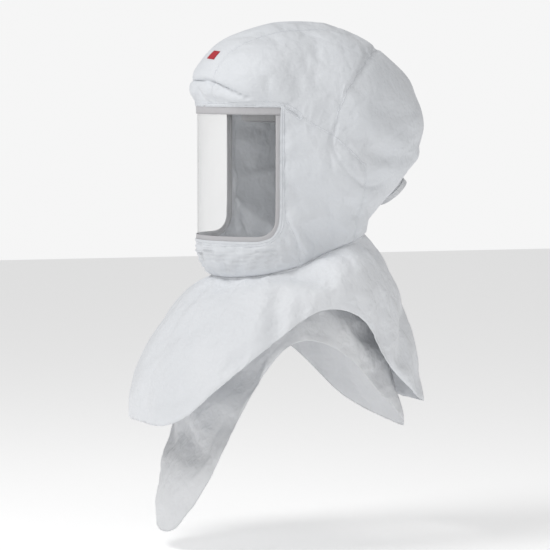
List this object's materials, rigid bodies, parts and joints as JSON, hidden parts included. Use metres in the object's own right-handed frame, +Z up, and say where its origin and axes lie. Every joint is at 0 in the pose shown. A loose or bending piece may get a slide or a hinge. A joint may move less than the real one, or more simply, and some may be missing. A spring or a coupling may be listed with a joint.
{
  "type": "powered air respirator headtop",
  "caption": "Loose-fitting air-fed respirator hood with a wrap-around visor, layered shoulder shrouds, head harness with ratchet, air duct and tube inlet.",
  "frame": {"origin": "middle of the head inside the harness, in the plane of the headband", "axes": "+Z up; the wearer faces -Y; the wearer's left is +X"},
  "size_m": [0.3118, 0.386, 0.6527],
  "materials": {
    "hood_fabric": "crinkled non-woven sheet, matt",
    "bib_fabric": "crinkled non-woven sheet, matt",
    "inner_fabric": "thin non-woven sheet, matt",
    "visor_clear": "clear polished film",
    "visor_tape": "woven binding tape",
    "label_cloth": "smooth woven patch",
    "elastic": "ribbed elastic",
    "harness_plastic": "satin moulded",
    "duct_plastic": "satin moulded",
    "knob_plastic": "fine texture",
    "foam": "brushed cover on foam",
    "steel": "plain",
    "seal_rubber": "matt"
  },
  "bodies": {
    "root": {"back_panel": "hood_fabric", "brow_arm_left": "duct_plastic", "brow_arm_right": "duct_plastic", "cheek_panel_left": "hood_fabric", "cheek_panel_right": "hood_fabric", "chin_panel": "hood_fabric", "crown_clip": "harness_plastic", "crown_strap_front": "harness_plastic", "crown_strap_side": "harness_plastic", "crown_strip": "hood_fabric", "duct_inner_plate": "duct_plastic", "duct_outer_shell": "duct_plastic", "headband_front": "harness_plastic", "inlet_elbow": "duct_plastic", "inlet_gasket": "seal_rubber", "inlet_sleeve": "elastic", "inlet_socket": "duct_plastic", "inner_bib_front": "inner_fabric", "inner_bib_rear": "inner_fabric", "label_patch": "label_cloth", "nape_pad": "foam", "neck_elastic": "elastic", "outer_bib_front": "bib_fabric", "outer_bib_rear": "bib_fabric", "outlet_nozzle": "duct_plastic", "ratchet_base": "harness_plastic", "ratchet_cover": "harness_plastic", "rear_bracket_lower": "duct_plastic", "rear_bracket_upper": "duct_plastic", "side_panel_left": "hood_fabric", "side_panel_right": "hood_fabric", "strap_guide_left": "harness_plastic", "strap_guide_right": "harness_plastic", "sweatband": "foam", "visor_edge_tape": "visor_tape", "visor_lens": "visor_clear", "visor_top_band": "visor_tape"},
    "knob": {"ratchet_pinion": "harness_plastic", "ratchet_knob": "knob_plastic", "knob_screw": "steel"},
    "left_strap": {"strap_left": "harness_plastic"},
    "right_strap": {"strap_right": "harness_plastic"},
    "vane": {"deflector_vane": "duct_plastic", "vane_knob": "knob_plastic"},
    "collar": {"inlet_collar": "duct_plastic"},
    "button": {"release_button": "duct_plastic"}
  },
  "joints": [
    {"name": "knob_spin", "type": "hinge", "parent": "root", "child": "knob", "pos_m": [0, 0.098, 0], "axis": [0, 1, 0], "range_deg": [-92, 92]},
    {"name": "left_strap_slide", "type": "hinge", "parent": "root", "child": "left_strap", "pos_m": [0, 0.014, 0], "axis": [0, 0, 1], "range_deg": [-5.5, 5.5]},
    {"name": "right_strap_slide", "type": "hinge", "parent": "root", "child": "right_strap", "pos_m": [0, 0.014, 0], "axis": [0, 0, 1], "range_deg": [-5.5, 5.5]},
    {"name": "vane_tilt", "type": "hinge", "parent": "root", "child": "vane", "pos_m": [0, -0.12062, 0.05437], "axis": [1, 0, 0], "range_deg": [-20, 20]},
    {"name": "collar_twist", "type": "hinge", "parent": "root", "child": "collar", "pos_m": [0, 0.094, -0.096], "axis": [0, 0.6691, -0.7431], "range_deg": [0, 40]},
    {"name": "button_press", "type": "slide", "parent": "root", "child": "button", "axis": [0, 0.7431, 0.6691], "range_m": [0, 0.0025], "stiffness_N_per_m": 300, "springref_m": -0.001}
  ],
  "couplings": [
    {"joint": "left_strap_slide", "follows": "knob_spin", "ratio": -0.059524},
    {"joint": "right_strap_slide", "follows": "knob_spin", "ratio": 0.059524}
  ]
}
